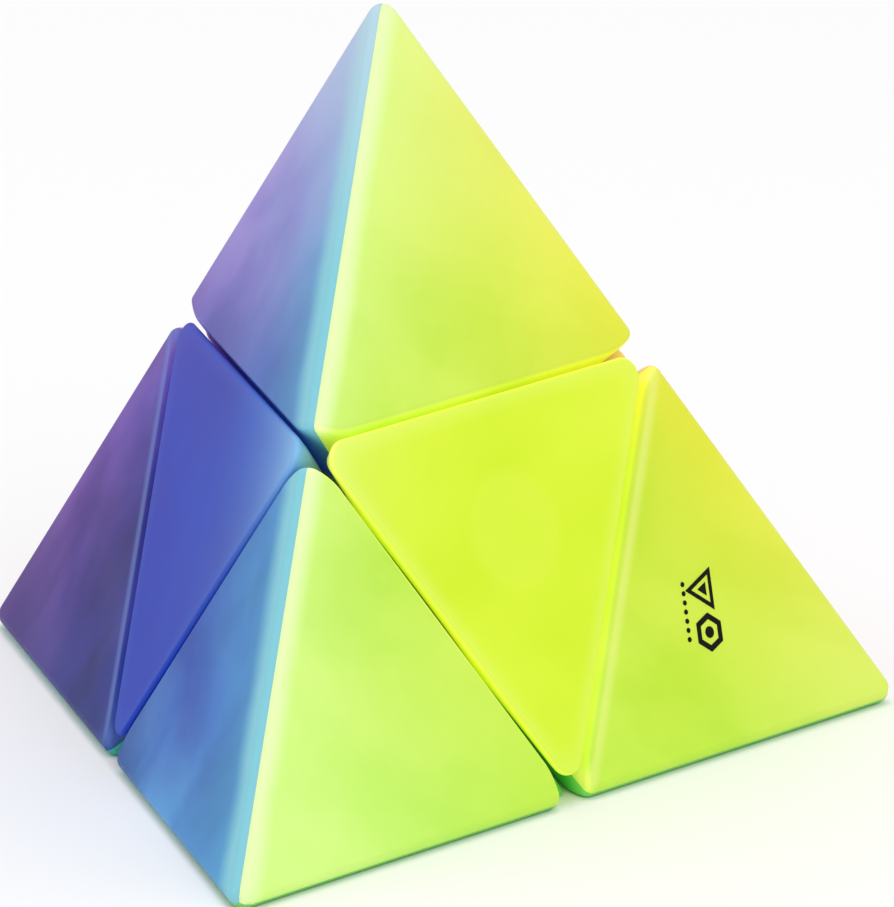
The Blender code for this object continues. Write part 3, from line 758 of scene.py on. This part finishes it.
def centre_finish(colour):
    """Jelly plastic of a face-centre shell, with its pad showing faintly through."""
    shades = CENTRE_COLOURS[colour]
    finish, tree, shader = new_finish("jelly_centre_" + colour, tint(shades["body"]))
    where = use(tree, PLACE, {})
    clouds = use(tree, CLOUDS, {"Place": where["Place"], **CENTRE_CLOUDS})
    base = blend_colour(tree, clouds["Clouds"], tint(shades["body"]), tint(shades["deep"]))
    across = vector_calc(tree, "CROSS_PRODUCT", where["Place"], FACE_NORMALS[colour])
    radius = vector_calc(tree, "LENGTH", across)
    pad = fade(tree, radius, *(PAD_RADIUS * share for share in PAD_FADE))
    pad = calc(tree, "MULTIPLY", pad, PAD_SHARE)
    base = blend_colour(tree, pad, base, tint(shades["pad"]))
    # Painted highlight: a pale rim in from the cuts.
    rim = calc(tree, "MULTIPLY", fade(tree, where["Cut Depth"], *RIM_HIGHLIGHT_FADE), RIM_HIGHLIGHT_SHARE)
    base = blend_colour(tree, rim, base, tint(shades["rim"]))
    # Painted glow from each neighbour at the corner beside it.
    for neighbour, (glow, reach, share) in shades["next"].items():
        base = use(tree, GLOW, {
            "Colour": base, "Place": where["Place"], "Next Face": FACE_NORMALS[neighbour],
            "Band Share": 0.0, "Glow Colour": tint(glow), "Glow Reach": reach,
            "Glow Share": share})["Colour"]
    tree.links.new(base, shader.inputs["Base Color"])
    light_the_walls(tree, shader, base, where, colour, shades)
    satin_skin(tree, shader, 0.40, JELLY_UNEVENNESS, JELLY_GRAIN, JELLY_BUMP)
    jelly_shader(shader)
    return finish


def milky_finish(name, light, dark, roughness):
    """Milky inner plastic with faint flow clouds."""
    finish, tree, shader = new_finish(name, tint(light))
    where = use(tree, PLACE, {})
    flow = use(tree, CLOUDS, {"Place": where["Place"], "Size": 0.005, "Contrast": 2.0})
    base = blend_colour(tree, flow["Clouds"], tint(light), tint(dark))
    tree.links.new(base, shader.inputs["Base Color"])
    satin_skin(tree, shader, roughness, 0.12, 0.0002, 0.15)
    shader.inputs["Subsurface Weight"].default_value = 0.15
    shader.inputs["Subsurface Scale"].default_value = SCATTER_DEPTH
    return finish


def steel_finish(name, light, dark, roughness):
    """Bright plated steel with faint drawing marks and cloudy plating."""
    finish, tree, shader = new_finish(name, tint(light))
    where = use(tree, PLACE, {})
    plating = use(tree, CLOUDS, {"Place": where["Place"], "Size": 0.0006, "Contrast": 2.2})
    base = blend_colour(tree, plating["Clouds"], tint(light), tint(dark))
    tree.links.new(base, shader.inputs["Base Color"])
    satin_skin(tree, shader, roughness, 0.15, 0.00008, 0.2)
    shader.inputs["Metallic"].default_value = 1
    return finish


def ink_finish():
    """Matt black print, slightly uneven."""
    finish, tree, shader = new_finish("printed_ink", tint("15150F"))
    where = use(tree, PLACE, {})
    cover = use(tree, CLOUDS, {"Place": where["Place"], "Size": 0.0008, "Contrast": 2.0})
    base = blend_colour(tree, cover["Clouds"], tint("060605"), tint("12120E"))
    tree.links.new(base, shader.inputs["Base Color"])
    satin_skin(tree, shader, 0.5, 0.15, 0.0001, 0.2)
    shader.inputs["Specular IOR Level"].default_value = 0.1
    return finish


# ---------------------------------------------------------------- pieces

def dress(piece, finish):
    """Give a piece one finish in place of any it has."""
    piece.data.materials.clear()
    piece.data.materials.append(finish)


def face_colour(direction):
    """The colour of the coloured face that lies in a direction of the turning frame."""
    return max(FACE_SIDES, key=lambda colour: Vector(FACE_SIDES[colour]).dot(direction))


def node_body(node):
    """The body that a CAD node rides on."""
    return frame["nodes"][node]["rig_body"]


def stand_in(template, name, turn, finish, node):
    """Put a dressed copy of a shell in place of its plain one."""
    piece = place_copy(template, name, turn)
    dress(piece, finish)
    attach(piece, node_body(node))
    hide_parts(node)


def add_shells():
    """All sixteen coloured shells, each standing for its plain one."""
    vertex, centre = vertex_shell(), centre_shell()
    vertex_finishes = {colour: vertex_finish(colour) for colour in FACE_SIDES}
    centre_finishes = {colour: centre_finish(colour) for colour in FACE_SIDES}
    for corner, home in HOMES.items():
        for cycle in CYCLES:
            turn = home @ cycle
            colour = face_colour(turn.to_3x3() @ Vector((1, 1, -1)))
            stand_in(vertex, f"{corner}_{colour}_shell", turn, vertex_finishes[colour],
                     f"{corner}_shell_{colour}")
        colour = face_colour(home.to_3x3() @ -DIAGONAL)
        stand_in(centre, colour + "_face_centre", home, centre_finishes[colour],
                 colour + "_centre_shell")
    bpy.data.objects.remove(vertex)
    bpy.data.objects.remove(centre)


def flat_ring(sides, radius, hole, spot, turn):
    """A flat plate with a hole of the same shape, or a full one, for the printed mark."""
    bpy.ops.object.select_all(action="DESELECT")
    bpy.ops.mesh.primitive_circle_add(vertices=sides, radius=radius, fill_type="NGON",
                                      location=(*spot, -MARK_SUNK), rotation=(0, 0, turn))
    plate = bpy.context.active_object
    bpy.ops.object.mode_set(mode="EDIT")
    bpy.ops.mesh.select_all(action="SELECT")
    if hole:
        bpy.ops.mesh.inset(thickness=(radius - hole) * math.cos(math.pi / sides))
        bpy.ops.mesh.delete(type="FACE")
        bpy.ops.mesh.select_all(action="SELECT")
    bpy.ops.mesh.extrude_region_move(
        TRANSFORM_OT_translate={"value": (0, 0, MARK_SUNK + MARK_PROUD)})
    bpy.ops.mesh.select_all(action="SELECT")
    bpy.ops.mesh.normals_make_consistent(inside=False)
    bpy.ops.object.mode_set(mode="OBJECT")
    return plate


def add_mark():
    """A small plain mark of rings and dots, printed on the lime face of the right corner."""
    plates = [
        flat_ring(3, 0.00190, 0.00125, MARK_TRIANGLE_SPOT, math.pi / 2),
        flat_ring(3, 0.00060, 0, MARK_TRIANGLE_SPOT, math.pi / 2),
        flat_ring(6, 0.00150, 0.00100, MARK_HEXAGON_SPOT, 0),
        flat_ring(24, 0.00045, 0, MARK_HEXAGON_SPOT, 0),
    ]
    for step in range(MARK_DOTS):
        spot = (MARK_DOT_ACROSS, MARK_DOT_TOP - MARK_DOT_STEP * step)
        plates.append(flat_ring(16, MARK_DOT_RADIUS, 0, spot, 0))
    bpy.ops.object.select_all(action="DESELECT")
    for plate in plates:
        plate.select_set(True)
    bpy.context.view_layer.objects.active = plates[0]
    bpy.ops.object.join()
    mark = bpy.context.active_object
    mark.name = "printed_mark"
    bpy.ops.object.transform_apply(location=True, rotation=True, scale=True)
    out = FACE_NORMALS["lime"]
    down = (out * out.z - Z).normalized()
    across = out.cross(down)
    spot = MIDDLE + out * FACE_DISTANCE + down * MARK_DOWN + across * MARK_ACROSS
    turned = Matrix((across, -down, out)).transposed().to_4x4()
    mark.matrix_world = (Matrix.Translation(spot) @ turned
                         @ Matrix.Rotation(MARK_TURN, 4, "Z"))
    only(mark)
    bpy.ops.object.transform_apply(location=True, rotation=True, scale=True)
    dress(mark, ink_finish())
    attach(mark, node_body("right_shell_lime"))


def dress_mechanism():
    """Finishes of the inner pieces, which keep their own shapes."""
    milky = milky_finish("milky_foot", "DDE6E2", "CFDAD6", 0.34)
    core = milky_finish("milky_core", "D2DCDA", "C2CFCD", 0.5)
    plated = steel_finish("plated_steel", "C9CBCE", "AEB1B5", 0.28)
    wire = steel_finish("spring_wire", "A9ABB0", "8C8F95", 0.24)
    for name, node in frame["nodes"].items():
        if node.hide_render:
            continue
        if name.startswith("spring"):
            finish = wire
        elif "screw" in name or name.startswith("washer"):
            finish = plated
        elif name == "core":
            finish = core
        else:
            finish = milky
        dress(node, finish)


# ---------------------------------------------------------------- studio

def add_studio():
    """Pale floor, soft light from all round, and a large soft lamp in front and to the right."""
    bpy.ops.object.select_all(action="DESELECT")
    bpy.ops.mesh.primitive_plane_add(size=8)
    floor = bpy.context.active_object
    floor.name = "studio_floor"
    finish, tree, shader = new_finish("pale_floor", (0.9, 0.9, 0.9, 1))
    shader.inputs["Base Color"].default_value = (0.94, 0.94, 0.94, 1)
    shader.inputs["Roughness"].default_value = 0.9
    shader.inputs["Specular IOR Level"].default_value = 0.1
    dress(floor, finish)

    world = bpy.data.worlds.new("soft_room")
    world.use_nodes = True
    sky = world.node_tree.nodes["Background"]
    sky.inputs["Color"].default_value = (1, 1, 1, 1)
    sky.inputs["Strength"].default_value = 0.78
    bpy.context.scene.world = world

    lamps = {
        "key_lamp": ((0.55, -0.75, 0.75), 0.6, 2.6),
        "left_lamp": ((-0.95, -0.45, 0.55), 0.7, 1.0),
        "top_lamp": ((0.0, 0.1, 1.3), 0.8, 3.0),
    }
    for name, (spot, size, power) in lamps.items():
        spot = Vector(spot)
        aim = (MIDDLE - spot).to_track_quat("-Z", "Y").to_euler()
        bpy.ops.object.light_add(type="AREA", location=spot, rotation=aim)
        lamp = bpy.context.active_object
        lamp.name = name
        lamp.data.shape = "DISK"
        lamp.data.size = size
        lamp.data.energy = power
    bpy.context.scene.view_settings.view_transform = "Standard"


def add_camera():
    """A long lens, a little above the puzzle and to the right of its front edge."""
    back = Vector((math.sin(CAMERA_AZIMUTH) * math.cos(CAMERA_ELEVATION),
                   -math.cos(CAMERA_AZIMUTH) * math.cos(CAMERA_ELEVATION),
                   math.sin(CAMERA_ELEVATION)))
    right = (-back).cross(Z).normalized()
    up = right.cross(-back)
    side = math.cos(CAMERA_ROLL) * right + math.sin(CAMERA_ROLL) * up
    top = -math.sin(CAMERA_ROLL) * right + math.cos(CAMERA_ROLL) * up
    spot = CAMERA_AIM + back * CAMERA_DISTANCE - side * SHIFT_ACROSS - top * SHIFT_UP
    bpy.ops.object.camera_add(location=spot)
    camera = bpy.context.active_object
    camera.rotation_mode = "QUATERNION"
    camera.rotation_quaternion = Matrix((side, top, back)).transposed().to_quaternion()
    camera.data.sensor_width = SENSOR_WIDTH
    camera.data.lens = FOCAL_LENGTH
    bpy.context.scene.camera = camera


add_shells()
add_mark()
dress_mechanism()
add_studio()
add_camera()
